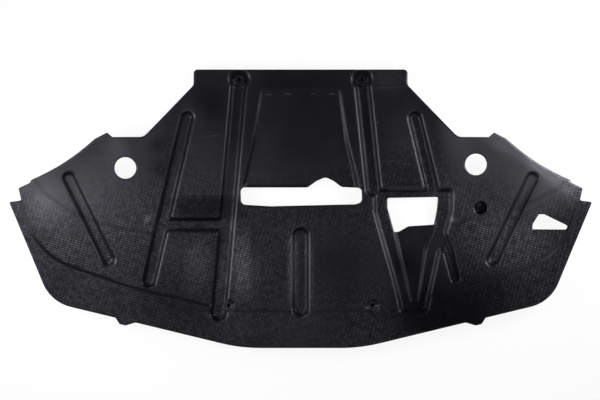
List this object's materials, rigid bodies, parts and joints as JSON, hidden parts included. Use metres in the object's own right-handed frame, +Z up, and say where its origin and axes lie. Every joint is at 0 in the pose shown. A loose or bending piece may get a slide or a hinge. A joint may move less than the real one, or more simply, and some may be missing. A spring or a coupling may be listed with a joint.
{
  "type": "engine splash shield",
  "caption": "Shallow moulded plastic tray that closes the underside of an engine bay, with stiffening ribs, air windows, access holes and bolt pads.",
  "frame": {"origin": "centre of the bounding box, at its lowest height", "axes": "+X across the vehicle, +Y towards the shield's straight rear edge, +Z up towards the engine, out of the tray"},
  "size_m": [1.1614, 0.557, 0.0666],
  "materials": {
    "black_plastic": "textured semi-gloss"
  },
  "bodies": {
    "root": {"splash_shield": "black_plastic"}
  },
  "joints": []
}
